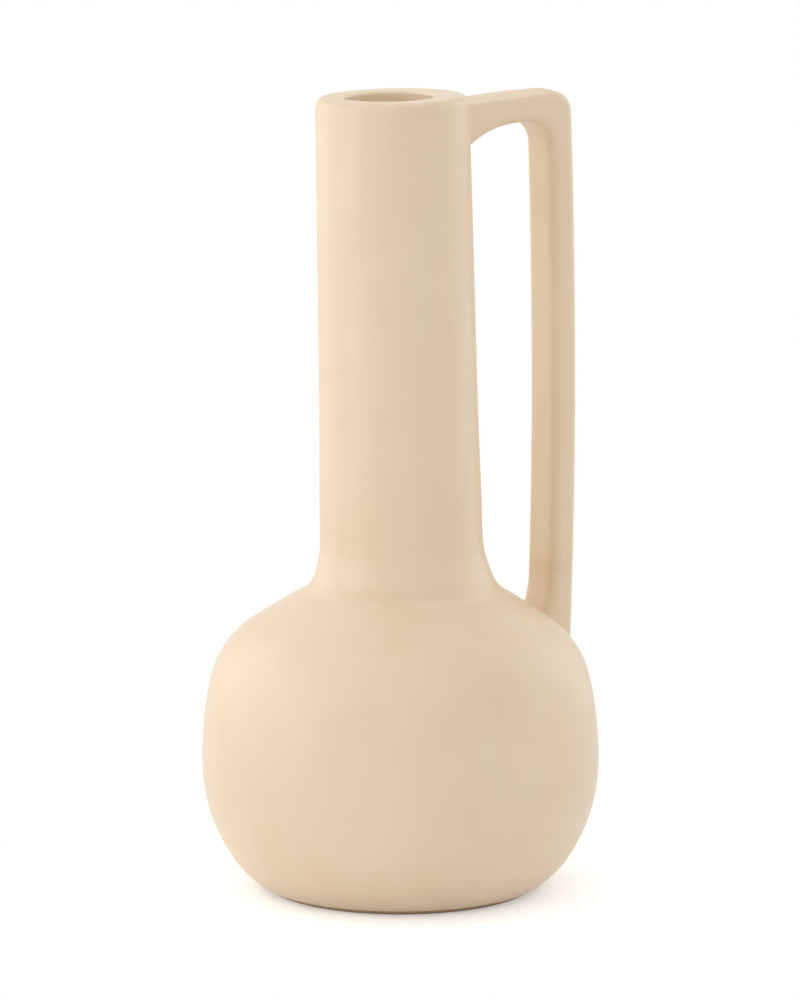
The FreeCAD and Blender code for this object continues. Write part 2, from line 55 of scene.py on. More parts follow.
# Belly: five tangent arcs from the foot to the root of the neck.
BELLY_RADIUS = 75.0 * MM
BELLY_HEIGHT = 48.2 * MM
HEEL_RADIUS = 39.7 * MM
LOWER_RADIUS = 63.2 * MM
LOWER_SWEEP = math.radians(33.6)
SIDE_RADIUS = 126.0 * MM
SIDE_SWEEP = math.radians(15.6)
CORNER_RADIUS = 35.2 * MM
CORNER_SWEEP = math.radians(38.9)
DOME_RADIUS = 148.7 * MM
BELLY_WALL = 6.0 * MM
FLOOR_HEIGHT = 9.5 * MM
# Neck, on an axis that leans away from the handle.
NECK_LEAN = math.radians(1.4)
PIVOT = np.array([0.0, 0.0, 148.0 * MM])
NECK_TOP = 152.0 * MM
NECK_END = -48.0 * MM
NECK_FOOT_RADIUS = 30.4 * MM
NECK_TOP_RADIUS = 28.4 * MM
NECK_WALL = 7.0 * MM
ROOT_FILLET = 14.5 * MM
FLARED_FOOT = 27.0 * MM
FLARED_SWEEP = math.radians(20.0)
INNER_FILLET = 30.0 * MM
# Mouth ring and foot.
MOUTH_SEAM = 122.0 * MM
BORE_RADIUS = 17.0 * MM
BORE_LENGTH = 12.0 * MM
LIP_ROUND = 3.0 * MM
BORE_ROUND = 1.3 * MM
FOOT_HEIGHT = 2.2 * MM
FOOT_WIDTH = 9.0 * MM
FOOT_RECESS = 2.8 * MM
TONGUE_WIDTH = 5.0 * MM
TONGUE_HEIGHT = 4.6 * MM
SEAM_LAP = 4.0 * MM
NECK_SEAM_RADIUS = 45.0 * MM
# The neck's root sits a little to one side, and the bore to the other.
ROOT_SWAY = np.array([0.75, -0.48]) * MM
ROOT_SWAY_HEIGHT = 115.0 * MM
ROOT_SWAY_WIDTH = 10.0 * MM
ROOT_SWAY_REACH = (48.0 * MM, 60.0 * MM)
BORE_SWAY = np.array([-0.75, 0.48]) * MM
BORE_SWAY_DEPTH = (16.0 * MM, 3.0 * MM)
# What throwing left on the wall, in millimetres: a slow wander with a wave's size and start for
# each direction, faint finger rings that drift and fade, and humps and hollows as height, half
# width and amount.
WANDER = 0.08
WANDER_WAVES = [(19, 1.3), (23, 0.4), (29, 2.1)]
FINGER_RINGS = 0.008
RING_SIZE = 1.9
RING_DRIFT, DRIFT_SIZE = 1.5, 13
RING_FADE, FADE_SIZE = 0.4, 31
FULLNESS = 0.2
HUMPS = [
    (146, 20, 0.35),
    (122, 8, 1.10),
    (104, 8, -0.45),
    (82, 15, 0.40),
    (40, 22, -0.30),
]
# Strap handle.
LEG_REACH = 74.8 * MM
BOW_RADIUS = 2450.0 * MM
BOW_HEIGHT = 180.0 * MM
STRAP_THICKNESS = 10.8 * MM
STRAP_WIDTH = 19.4 * MM
STRAP_EDGE = 4.2 * MM
ARM_EDGE = 2.0 * MM
ARM_HEIGHT = 295.4 * MM
ARM_RISE = math.radians(3.5)
ELBOW_RADIUS = 9.0 * MM
ARMPIT_SHARE = 0.257
GUSSET_SHARE = 0.992
TOE_SHARE = 0.104
TOE_SWEEP = math.radians(55.0)
FLARE_RADIUS = 38.0 * MM
FLARE_SWEEP = math.radians(22.0)
SEAT_DEPTH = 1.2 * MM
# Heights over which the strap becomes the arm, and reaches over which the arm becomes the elbow;
# then how far to the front, and above the strap's middle, the arm's smaller edge is complete.
ARM_START = (282.0 * MM, 290.0 * MM)
ARM_END = (50.0 * MM, 68.0 * MM)
EDGE_FRONT = 4.0 * MM
EDGE_ABOVE = 2.0 * MM
# From this turn back, the window's rule under the flare ends.
LAST_TURN = 0.5 - math.pi
# What pulling left on the strap, in millimetres: a slow unevenness with its waves' sizes out,
# across and up, and a longer wave's across and up; then a dip in the far side of the elbow's top
# and a sag of the arm's top towards its front edge, with where each grows and where it is or ends.
STRAP_WAVE = 0.06
WAVE_SIZES = (11, 9, 17)
WAVE_START = 0.7
LONG_WAVE_SHARE = 0.6
LONG_WAVE_SIZES = (7, 41)
ARM_TOP = (290.0, 295.0)
ELBOW_DIP = 0.35
DIP_SIDE = (0.0, 6.0)
DIP_REACH, DIP_WIDTH = 62, 9
FRONT_SAG = 1.25
SAG_SIDE = (-2.0, 11.0)
SAG_END = (60.0, 72.0)
# Radii of the soft joints at the two ends of the handle, and where each grows from nothing: over
# a reach past the landing, over heights round the toe, and over the last heights of the arm.
SIDE_JOINT = 4.4 * MM
TOP_JOINT = 1.3 * MM
FOOT_JOINT = 1.1 * MM
FOOT_GROWTH = 6.0 * MM
TOE_GROWTH = (-1.0 * MM, 4.0 * MM)
TOP_GROWTH = (289.0 * MM, 296.0 * MM)
# A joint's least radius, how deep under a skin it is still drawn, and the depth at which a skin
# starts to sink under the other one: this or a share of the joint's radius, and sunk at so many
# times that.
LEAST_JOINT = 0.02 * MM
JOINT_DEPTH = 1.0 * MM
SINKING = 0.9 * MM
SINKING_SHARE = 0.35
SUNK = 2.2
# Two surfaces more alike than this have no joint, and the least that their crossing counts for.
PARALLEL = 0.97
LEAST_CROSSING = 0.02
# Rounds of what is found step by step: a surface, a joint, a rib's end and the neck's root.
SETTLE_ROUNDS = 4
JOINT_ROUNDS = 5
RIB_ROUNDS = 40
ROOT_ROUNDS = 12
TINY = 1e-12

# The meshes: columns round the vessel, and the spacing of rows from fine to wide.
COLUMNS = 288
CROWDING = 0.6
FINEST = 0.5 * MM
STEP = 0.8 * MM
BORE_STEP = 2.0 * MM
BELLY_STEP = 2.5 * MM
BEND_STEP = 3.0 * MM
NECK_STEP = 3.5 * MM
INNER_STEP = 4.0 * MM
# Rows are close from this height up, for the handle's foot.
CLOSE_FROM = 71.0 * MM
# Rows of the outer skin on the dome's last stretch, round the root, up its flare, over the lip
# and into the bore; then of the inner wall on the dome and round the root.
DOME_ROWS = 4
ROOT_ROWS = 20
FLARE_ROWS = 12
LIP_ROWS = 9
BORE_ROWS = 8
INNER_DOME_ROWS = 3
INNER_ROOT_ROWS = 12
# Where the first guess puts the end of the neck, on its own axis.
FIRST_RISE = -20.0 * MM


def direction(angle):
    """Unit vector in a profile plane at an angle."""
    return np.array([math.cos(angle), math.sin(angle)])


def bearing(centre, point):
    """Angle at which a centre sees a point."""
    return math.atan2(point[1] - centre[1], point[0] - centre[0])


def span(away):
    """Lengths of vectors by their first two parts."""
    return np.hypot(away[..., 0], away[..., 1])


def smooth(low, high, value):
    """A share from 0 to 1 with soft ends."""
    share = np.clip((value - low) / (high - low), 0.0, 1.0)
    return share * share * (3 - 2 * share)


LOWER = np.array([BELLY_RADIUS - LOWER_RADIUS, BELLY_HEIGHT])
HEEL = LOWER + (LOWER_RADIUS - HEEL_RADIUS) * direction(-LOWER_SWEEP)
SIDE = np.array([BELLY_RADIUS - SIDE_RADIUS, BELLY_HEIGHT])
CORNER = SIDE + (SIDE_RADIUS - CORNER_RADIUS) * direction(SIDE_SWEEP)
DOME_TURN = SIDE_SWEEP + CORNER_SWEEP
DOME = CORNER + (CORNER_RADIUS - DOME_RADIUS) * direction(DOME_TURN)
# Each arc of the belly with the angle at which the next one takes over.
BELLY_ARCS = [
    (HEEL, HEEL_RADIUS, -LOWER_SWEEP),
    (LOWER, LOWER_RADIUS, 0.0),
    (SIDE, SIDE_RADIUS, SIDE_SWEEP),
    (CORNER, CORNER_RADIUS, DOME_TURN),
    (DOME, DOME_RADIUS, math.pi),
]

LEAN = np.array([-math.sin(NECK_LEAN), 0.0, math.cos(NECK_LEAN)])
TOWARDS = np.array([math.cos(NECK_LEAN), 0.0, math.sin(NECK_LEAN)])
ASIDE = np.array([0.0, 1.0, 0.0])
TAPER = math.atan2(NECK_FOOT_RADIUS - NECK_TOP_RADIUS, NECK_TOP - NECK_END)


def neck_radius(rise):
    """Radius of the neck at a distance up its own axis."""
    share = (rise - NECK_END) / (NECK_TOP - NECK_END)
    return NECK_FOOT_RADIUS + (NECK_TOP_RADIUS - NECK_FOOT_RADIUS) * share


def hump(value, centre, width):
    """A soft hump of one, round a centre."""
    return np.exp(-(((value - centre) / width) ** 2))


def thrown(points):
    """How far the thrown surface stands out: waves of unlike lengths, humps and hollows."""
    wander = 1.0
    for axis, (size, start) in enumerate(WANDER_WAVES):
        wander = wander * np.sin(points[..., axis] / MM / size + start)
    z = points[..., 2] / MM
    rings = np.sin(z / RING_SIZE + RING_DRIFT * np.sin(z / DRIFT_SIZE))
    rings = rings * (1 - RING_FADE + RING_FADE * np.sin(z / FADE_SIZE))
    full = FULLNESS + sum(amount * hump(z, height, width) for height, width, amount in HUMPS)
    return (WANDER * wander + FINGER_RINGS * rings + full) * MM


def rounded(first, second, radius):
    """Distance from an edge's round, given those from its sides set back by the radius."""
    outer = np.hypot(np.maximum(first, 0.0), np.maximum(second, 0.0))
    return np.minimum(np.maximum(first, second), 0.0) + outer - radius


def belly_distance(points):
    """Signed distance from the belly's outer surface."""
    place = np.stack([span(points), points[..., 2]], -1)
    result = None
    for centre, radius, end in reversed(BELLY_ARCS):
        away = place - centre
        distance = span(away) - radius
        if result is None:
            result = distance
        else:
            result = np.where(np.arctan2(away[..., 1], away[..., 0]) < end, distance, result)
    return result - thrown(points)


def neck_distance(points):
    """Signed distance from the neck's outer surface and the rounded lip."""
    along = points - PIVOT
    rise = along @ LEAN
    aside = np.hypot(along @ TOWARDS, along[..., 1])
    fade = 1 - smooth(NECK_TOP - 2 * LIP_ROUND, NECK_TOP - LIP_ROUND, rise)
    beside = (aside - neck_radius(rise)) * math.cos(TAPER) - thrown(points) * fade + LIP_ROUND
    return rounded(beside, rise - NECK_TOP + LIP_ROUND, LIP_ROUND)


# Handle: lines and arcs in the plane of symmetry.
BOW = np.array([LEG_REACH - BOW_RADIUS, BOW_HEIGHT])
LEG_INNER = BOW_RADIUS - STRAP_THICKNESS
ALONG = direction(ARM_RISE)
ABOVE = direction(ARM_RISE + TURN / 4)
WALL = neck_radius(MOUTH_SEAM) * math.cos(NECK_LEAN) - MOUTH_SEAM * math.sin(NECK_LEAN)
WINDOW = BOW[0] + LEG_INNER - WALL
ARMPIT_RADIUS = WINDOW * ARMPIT_SHARE
GUSSET_RADIUS = WINDOW * GUSSET_SHARE
TOE_RADIUS = WINDOW * TOE_SHARE


def arm_point(reach, depth):
    """A point of a line along the arm, at a depth under its top."""
    return np.array([
        reach, ARM_HEIGHT + reach * math.tan(ARM_RISE) - depth / math.cos(ARM_RISE)])


def arm_crossing(depth, radius):
    """Where a line along the arm leaves a circle round the leg's far centre."""
    start = arm_point(0.0, depth) - BOW
    along = start @ ALONG
    far = math.sqrt(along * along - start @ start + radius * radius)
    return BOW + start + ALONG * (far - along)


def crossing(first, first_radius, second, second_radius):
    """Where two circles cross, on the left of the way from one centre to the other."""
    way = second - first
    gap = np.hypot(*way)
    way = way / gap
    along = (gap + (first_radius ** 2 - second_radius ** 2) / gap) / 2
    aside = math.sqrt(first_radius ** 2 - along ** 2)
    return first + way * along + np.array([-way[1], way[0]]) * aside


ELBOW = arm_crossing(ELBOW_RADIUS, BOW_RADIUS - ELBOW_RADIUS)
ARMPIT = arm_crossing(STRAP_THICKNESS + ARMPIT_RADIUS, LEG_INNER - ARMPIT_RADIUS)
FLARE_RIGHT = LEG_INNER - FLARE_RADIUS + FLARE_RADIUS * math.cos(FLARE_SWEEP)
FLARE_DROP = FLARE_RADIUS * math.sin(FLARE_SWEEP)
LANDING = crossing(BOW, math.hypot(FLARE_RIGHT, FLARE_DROP), DOME, DOME_RADIUS)
FLARE_TURN = bearing(BOW, LANDING) + math.atan2(FLARE_DROP, FLARE_RIGHT)
FLARE_END = FLARE_TURN - FLARE_SWEEP
FLARE = BOW + (LEG_INNER - FLARE_RADIUS) * direction(FLARE_TURN)
TOE_TURN = math.pi - TOE_SWEEP
ARM_TURN = math.pi / 2 + ARM_RISE
GUSSET = arm_point(
    WALL + TOE_RADIUS - (GUSSET_RADIUS - TOE_RADIUS) * math.cos(TOE_TURN),
    STRAP_THICKNESS + GUSSET_RADIUS)
TOE = GUSSET + (GUSSET_RADIUS - TOE_RADIUS) * direction(TOE_TURN)


def corner_rule(place, centre, radius, plain):
    """Distance from two sides joined by an arc: the arc's within its corner, else theirs."""
    away = place - centre
    leg = direction(bearing(BOW, centre) + TURN / 4)
    within = (away @ ALONG > 0) & (away @ leg > 0)
    return np.where(within, span(away) - radius, plain)


def above_arm(place, depth):
    """Height over a line along the arm, square to it."""
    return (place - arm_point(0.0, depth)) @ ABOVE


def outside_strap(place):
    """Distance beyond the strap's outer outline: arm, elbow and leg."""
    leg = span(place - BOW) - BOW_RADIUS
    return corner_rule(place, ELBOW, ELBOW_RADIUS, np.maximum(leg, above_arm(place, 0.0)))


def inside_window(place):
    """Depth in the window: positive in the open gap, negative in the strap."""
    leg = span(place - BOW) - LEG_INNER
    arm = above_arm(place, STRAP_THICKNESS)
    depth = corner_rule(place, ARMPIT, ARMPIT_RADIUS, np.maximum(leg, arm))
    for centre, radius, low, high in (
            (GUSSET, GUSSET_RADIUS, ARM_TURN, TOE_TURN), (TOE, TOE_RADIUS, TOE_TURN, math.pi)):
        away = place - centre
        turn = np.arctan2(away[..., 1], away[..., 0])
        within = (turn > low) & (turn <= high)
        depth = np.where(within, span(away) - radius, depth)
    left = (place[..., 0] < TOE[0]) & (place[..., 1] < TOE[1])
    depth = np.where(left, np.minimum(WALL - place[..., 0], place[..., 1] - TOE[1]), depth)
    away = place - FLARE
    turn = np.arctan2(away[..., 1], away[..., 0])
    under = (turn < FLARE_TURN) & (turn > FLARE_END)
    depth = np.where(under, span(away) - FLARE_RADIUS, depth)
    past = (turn <= FLARE_END) & (turn > LAST_TURN)
    end = away @ direction(FLARE_END) - FLARE_RADIUS
    return -np.where(past, end, depth)


def handle_distance(points):
    """Signed distance from the strap, with its long edges rounded."""
    place = points[..., [0, 2]]
    beyond, within = outside_strap(place), inside_window(place)
    edge = edge_radius(points, beyond - within)
    outline = np.maximum(beyond, within) + edge
    breadth = np.abs(points[..., 1]) - STRAP_WIDTH / 2 + edge
    return rounded(outline, breadth, edge) - pulled(points)


def edge_radius(points, outwards):
    """Radius of the strap's long edges, smaller at the front edge of the arm's top."""
    front = smooth(0.0, EDGE_FRONT, -points[..., 1]) * smooth(0.0, EDGE_ABOVE, outwards)
    arm = smooth(*ARM_START, points[..., 2]) * (1 - smooth(*ARM_END, points[..., 0]))
    return STRAP_EDGE + (ARM_EDGE - STRAP_EDGE) * front * arm


def pulled(points):
    """How far the pulled strap stands out: a slow unevenness, less a dip and a sag."""
    x, y, z = (points[..., i] / MM for i in range(3))
    out, across, up = WAVE_SIZES
    slow = np.sin(z / up + WAVE_START) * np.sin(x / out + y / across)
    across, up = LONG_WAVE_SIZES
    slow = slow + LONG_WAVE_SHARE * np.sin(z / up + y / across)
    top = smooth(*ARM_TOP, z)
    dip = hump(x, DIP_REACH, DIP_WIDTH) * smooth(*DIP_SIDE, y) * top
    sag = smooth(*SAG_SIDE, -y) * top * (1 - smooth(*SAG_END, x))
    return (STRAP_WAVE * slow - ELBOW_DIP * dip - FRONT_SAG * sag) * MM


def unit(ways):
    """Vectors at unit length."""
    return ways / np.maximum(np.linalg.norm(ways, axis=-1, keepdims=True), TINY)


def slope(distance, points):
    """Unit direction in which a distance grows."""
    step = 0.02 * MM
    parts = []
    for axis in np.eye(3) * step:
        parts.append(distance(points + axis) - distance(points - axis))
    return unit(np.stack(parts, -1))


def settle(points, distance):
    """Move points onto the surface where a distance is nothing."""
    for _ in range(SETTLE_ROUNDS):
        points = points - distance(points)[..., None] * slope(distance, points)
    return points


def joint_radius(points):
    """Radius of the soft joint at a point: one at the mouth ring, a smaller one at the foot."""
    foot = FOOT_JOINT * smooth(LANDING[0], LANDING[0] + FOOT_GROWTH, points[..., 0])
    height = points[..., 2]
    side = SIDE_JOINT * smooth(TOE[1] + TOE_GROWTH[0], TOE[1] + TOE_GROWTH[1], height)
    head = side + (TOP_JOINT - side) * smooth(*TOP_GROWTH, height)
    return np.where(height > BOW_HEIGHT, head, foot)


def luted(points, normals, own, other):
    """Draw a surface into the soft joint with another one, and sink what the other covers."""
    radius = np.maximum(joint_radius(points), LEAST_JOINT)
    start = other(points)
    skin = own(points) > -JOINT_DEPTH
    spot = points.copy()
    facing = normals.copy()
    for _ in range(JOINT_ROUNDS):
        first = radius - own(spot)
        second = radius - other(spot)
        across, beyond = slope(own, spot), slope(other, spot)
        match = np.sum(across * beyond, -1)
        square = np.maximum(1 - match ** 2, LEAST_CROSSING)
        share = (first - match * second) / square
        other_share = (second - match * first) / square
        centre = share[..., None] * across + other_share[..., None] * beyond
        length = np.maximum(np.linalg.norm(centre, axis=-1), TINY)
        near = (share > 0) & (other_share > 0) & (match < PARALLEL)
        near = near & (start < radius) & (start > -2 * radius) & skin
        move = centre * (1 - radius / length)[..., None]
        spot = np.where(near[..., None], spot + move, spot)
        facing = np.where(near[..., None], centre / length[..., None], facing)
    margin = np.maximum(SINKING_SHARE * radius, SINKING)
    sunk = smooth(margin, SUNK * margin, -start)[..., None]
    depth = np.clip(own(points) + SEAT_DEPTH, 0.0, SEAT_DEPTH)[..., None]
    hidden = points - normals * depth if own is not handle_distance else points
    return spot + (hidden - spot) * sunk, facing


def columns():
    """Angles of the vessel's columns, crowded on the handle's side."""
    even = np.linspace(-math.pi, math.pi, COLUMNS, endpoint=False)
    return even - CROWDING * np.sin(even)


AROUND = columns()
# Directions of the columns from the neck's leaning axis.
SPOKES = np.cos(AROUND)[:, None] * TOWARDS + np.sin(AROUND)[:, None] * ASIDE


def ring(reach, height, turn):
    """A row of points round the upright axis."""
    reach, height, turn = np.broadcast_arrays(reach, height, turn)
    return np.stack([reach * np.cos(turn), reach * np.sin(turn), height], -1)


def leaned_ring(radius, rise):
    """A row of points round the neck's axis."""
    radius, rise = (np.broadcast_to(value, COLUMNS)[:, None] for value in (radius, rise))
    return PIVOT + rise * LEAN + radius * SPOKES


class Root:
    """The neck's root, for every column: a slow flare of the neck, then the arc of a ball that
    touches the flare and the dome."""

    def __init__(self, ball, flare, sweep, inset, wall):
        self.ball = ball
        self.flare = flare
        self.wall = wall
        dome = DOME_RADIUS - inset
        self.first = self.tilted(TAPER)
        self.second = self.tilted(TAPER + sweep)
        rise = np.full(COLUMNS, FIRST_RISE)
        nudge = 0.01 * MM
        for _ in range(ROOT_ROUNDS):
            gap, grown = (self.gap(rise + extra, dome) for extra in (0.0, nudge))
            rise = rise - gap * nudge / (grown - gap)
        self.rise = rise
        self.flare_centre, self.centre = self.centres(rise)
        self.turn = np.arctan2(self.centre[:, 1], self.centre[:, 0])
        self.angle = np.arctan2(self.centre[:, 2] - DOME[1], span(self.centre) - DOME[0])
        reach = DOME[0] + dome * np.cos(self.angle)
        touch = ring(reach, DOME[1] + dome * np.sin(self.angle), self.turn)
        self.start = (touch - self.centre) / self.ball

    def tilted(self, tilt):
        """Directions square to the neck's axis but for a tilt up it."""
        return math.cos(tilt) * SPOKES + math.sin(tilt) * LEAN

    def centres(self, rise):
        """Centres of the flare and of the ball for a flare that leaves the neck at a rise."""
        flare = leaned_ring(neck_radius(rise) - self.wall, rise) + self.flare * self.first
        return flare, flare - (self.flare - self.ball) * self.second

    def gap(self, rise, dome):
        """How far the ball is from the dome."""
        centre = self.centres(rise)[1]
        return np.hypot(span(centre) - DOME[0], centre[:, 2] - DOME[1]) - dome - self.ball

    def rows(self, count, flared):
        """Rows from the dome up to the neck: round the ball, then up the flare."""
        yield from swept(self.centre, self.ball, self.start, -self.second, count)
        if flared:
            upper = swept(self.flare_centre, self.flare, -self.second, -self.first, flared)
            yield from list(upper)[1:]


def swept(centre, radius, start, end, count):
    """Rows that turn round a centre from one direction to another."""
    sweep = np.arccos(np.sum(start * end, -1))[:, None]
    for share in np.linspace(0.0, 1.0, count):
        way = np.sin((1 - share) * sweep) * start + np.sin(share * sweep) * end
        yield centre + radius * way / np.sin(sweep)


outer_root = Root(ROOT_FILLET, FLARED_FOOT, FLARED_SWEEP, 0.0, 0.0)
inner_root = Root(INNER_FILLET, INNER_FILLET, 0.0, BELLY_WALL, NECK_WALL)


def spread(start, end, step):
    """Even values from start to end with about a step between them."""
    return np.linspace(start, end, max(2, int(abs(end - start) / step) + 2))


def arc_rows(centre, radius, start, end, step):
    """Rows of one of the belly's arcs."""
    for angle in spread(start, end, step / radius):
        reach, height = centre + radius * direction(angle)
        yield ring(reach, height, outer_root.turn)


def upright(corners):
    """Rows at corners given as distance from the upright axis and height."""
    return [ring(*corner, outer_root.turn) for corner in corners]


def height_angle(centre, radius, height):
    """Angle of an arc's point at a height."""
    return math.asin((height - centre[1]) / radius)


def reach_angle(centre, radius, reach):
    """Angle of an arc's point at a distance from the axis."""
    return math.acos((reach - centre[0]) / radius)


def chain(*stretches):
    """Rows of several stretches, without the doubled rows between them."""
    rows = []
    for stretch in stretches:
        stretch = list(stretch)
        rows += stretch[1:] if rows else stretch
    return rows


def dome_rows(root, inset, seam_reach, count):
    """Rows from a seam on the dome to the root."""
    radius = DOME_RADIUS - inset
    start = reach_angle(DOME, radius, seam_reach)
    for share in np.linspace(0.0, 1.0, count):
        angle = start + (root.angle - start) * share
        turn = outer_root.turn + (root.turn - outer_root.turn) * share
        yield ring(DOME[0] + radius * np.cos(angle), DOME[1] + radius * np.sin(angle), turn)


def neck_rows(root, inset, end, step):
    """Rows up the neck from the root to a rise."""
    for share in np.linspace(0.0, 1.0, int((end - FIRST_RISE) / step)):
        rise = root.rise + (end - root.rise) * share
        yield leaned_ring(neck_radius(rise) - inset, rise)


def leaned_arc(centre, radius, start, end, count):
    """Rows of an arc in the neck's own profile."""
    for angle in np.linspace(start, end, count):
        reach, rise = centre + radius * direction(angle)
        yield leaned_ring(reach, rise)


def leaned_line(start, end, step):
    """Rows of a straight stretch in the neck's own profile."""
    start, end = np.array(start), np.array(end)
    count = max(2, int(np.hypot(*(end - start)) / step) + 2)
    for share in np.linspace(0.0, 1.0, count):
        yield leaned_ring(*(start + (end - start) * share))


BELLY_SEAM = BELLY_HEIGHT - SEAM_LAP / 2
LEDGE = DOME[1] + math.sqrt(
    (DOME_RADIUS - BELLY_WALL / 2) ** 2 - (NECK_SEAM_RADIUS - SEAM_LAP / 2 - DOME[0]) ** 2)
# Corners of the belly's half lap, and of the neck's seam in the dome.
LAP_REACH = BELLY_RADIUS - BELLY_WALL / 2
LAP_CORNERS = [(LAP_REACH, BELLY_SEAM), (LAP_REACH, BELLY_SEAM + SEAM_LAP)]
SEAM_CORNERS = [(NECK_SEAM_RADIUS, LEDGE), (NECK_SEAM_RADIUS - SEAM_LAP, LEDGE)]


def bowl_skin():
    """Outer rows of the bowl, from the foot ring to the belly's seam."""
    return chain(
        arc_rows(HEEL, HEEL_RADIUS, height_angle(HEEL, HEEL_RADIUS, FOOT_HEIGHT),
                 -LOWER_SWEEP, BELLY_STEP),
        arc_rows(LOWER, LOWER_RADIUS, -LOWER_SWEEP,
                 height_angle(LOWER, LOWER_RADIUS, BELLY_SEAM), BELLY_STEP))


def shoulder_skin():
    """Outer rows of the shoulder, from the belly's seam to the neck's."""
    close = height_angle(SIDE, SIDE_RADIUS, CLOSE_FROM)
    return chain(
        arc_rows(LOWER, LOWER_RADIUS, height_angle(LOWER, LOWER_RADIUS, BELLY_SEAM),
                 0.0, BELLY_STEP),
        arc_rows(SIDE, SIDE_RADIUS, 0.0, close, BELLY_STEP),
        arc_rows(SIDE, SIDE_RADIUS, close, SIDE_SWEEP, STEP),
        arc_rows(CORNER, CORNER_RADIUS, SIDE_SWEEP, DOME_TURN, STEP),
        arc_rows(DOME, DOME_RADIUS, DOME_TURN,
                 reach_angle(DOME, DOME_RADIUS, NECK_SEAM_RADIUS), STEP))


def neck_skin():
    """Outer rows of the neck, from its seam in the dome to the mouth ring's seam."""
    return chain(
        dome_rows(outer_root, 0.0, NECK_SEAM_RADIUS, DOME_ROWS),
        outer_root.rows(ROOT_ROWS, FLARE_ROWS),
        neck_rows(outer_root, 0.0, MOUTH_SEAM, NECK_STEP))


def mouth_skin():
    """Outer rows of the mouth ring, over the lip and down the bore to its own seam."""
    lip = np.array([NECK_TOP_RADIUS - LIP_ROUND, NECK_TOP - LIP_ROUND])
    edge = np.array([BORE_RADIUS + BORE_ROUND, NECK_TOP - BORE_ROUND])
    cone_foot = MOUTH_SEAM + 2 * SEAM_LAP
    bore_foot = NECK_TOP - BORE_LENGTH
    inner = neck_radius(cone_foot) - NECK_WALL
    seam = (neck_radius(MOUTH_SEAM + SEAM_LAP) - NECK_WALL, MOUTH_SEAM + SEAM_LAP)
    side = [leaned_ring(neck_radius(rise), rise)
            for rise in spread(MOUTH_SEAM, NECK_TOP - LIP_ROUND, STEP)]
    return chain(
        side,
        leaned_arc(lip, LIP_ROUND, 0.0, math.pi / 2, LIP_ROWS),
        leaned_line((lip[0], NECK_TOP), (edge[0], NECK_TOP), 1.5 * STEP),
        leaned_arc(edge, BORE_ROUND, math.pi / 2, math.pi, BORE_ROWS),
        leaned_line((BORE_RADIUS, edge[1]), (BORE_RADIUS, bore_foot), BORE_STEP),
        leaned_line((BORE_RADIUS, bore_foot), (inner, cone_foot), BORE_STEP),
        leaned_line((inner, cone_foot), seam, BORE_STEP))


def bowl_inside():
    """The bowl's lap, inner wall, floor and underside."""
    heel, lower = HEEL_RADIUS - BELLY_WALL, LOWER_RADIUS - BELLY_WALL
    side = SIDE_RADIUS - BELLY_WALL
    foot = HEEL[0] + math.sqrt(HEEL_RADIUS ** 2 - HEEL[1] ** 2) - FOOT_WIDTH
    base = [
        (0.0, FLOOR_HEIGHT), (0.0, FOOT_RECESS), (foot, FOOT_RECESS), (foot, TONGUE_HEIGHT),
        (foot + TONGUE_WIDTH, TONGUE_HEIGHT), (foot + TONGUE_WIDTH, FOOT_HEIGHT)]
    wall = chain(
        arc_rows(SIDE, side, height_angle(SIDE, side, BELLY_SEAM + SEAM_LAP), 0.0, BORE_STEP),
        arc_rows(LOWER, lower, 0.0, -LOWER_SWEEP, INNER_STEP),
        arc_rows(HEEL, heel, -LOWER_SWEEP, height_angle(HEEL, heel, FLOOR_HEIGHT), BEND_STEP))
    return upright(LAP_CORNERS) + wall + upright(base)


def shoulder_inside():
    """The shoulder's ledge for the neck, its inner wall and its lap."""
    corner, side = CORNER_RADIUS - BELLY_WALL, SIDE_RADIUS - BELLY_WALL
    dome = DOME_RADIUS - BELLY_WALL
    wall = chain(
        arc_rows(DOME, dome, reach_angle(DOME, dome, NECK_SEAM_RADIUS - SEAM_LAP),
                 DOME_TURN, INNER_STEP),
        arc_rows(CORNER, corner, DOME_TURN, SIDE_SWEEP, BEND_STEP),
        arc_rows(SIDE, side, SIDE_SWEEP,
                 height_angle(SIDE, side, BELLY_SEAM + SEAM_LAP), INNER_STEP))
    return upright(SEAM_CORNERS) + wall + upright(reversed(LAP_CORNERS))


def neck_inside():
    """The neck's tongue in the mouth ring, its bore and its flange in the shoulder."""
    bore = chain(
        dome_rows(inner_root, BELLY_WALL, NECK_SEAM_RADIUS - SEAM_LAP, INNER_DOME_ROWS),
        inner_root.rows(INNER_ROOT_ROWS, 0),
        neck_rows(inner_root, NECK_WALL, MOUTH_SEAM + SEAM_LAP, 2 * INNER_STEP))
    return mouth_inside()[::-1] + bore[::-1] + upright(reversed(SEAM_CORNERS))


def mouth_inside():
    """The mouth ring's lap over the neck's tongue."""
    middle = neck_radius(MOUTH_SEAM) - NECK_WALL / 2
    return [leaned_ring(middle, MOUTH_SEAM + SEAM_LAP), leaned_ring(middle, MOUTH_SEAM)]


def grid_normals(rows):
    """Unit normals of a grid of rows, from its neighbours."""
    up = np.gradient(rows, axis=0)
    around = np.roll(rows, -1, axis=1) - np.roll(rows, 1, axis=1)
    return unit(np.cross(around, up))


def numbered(rows):
    """The numbers of a grid's points."""
    return np.arange(rows[..., 0].size).reshape(rows.shape[:2])


def bands(low, high):
    """Faces from rows of point numbers to the rows after them, closed round."""
    faces = np.stack([low, np.roll(low, -1, 1), np.roll(high, -1, 1), high], -1)
    return faces.reshape(-1, 4).tolist()


# From this angle a corner stays sharp, and below this likeness to its face a normal is dropped.
SHARP_ANGLE = math.radians(40)
LEAST_AGREEMENT = 0.6


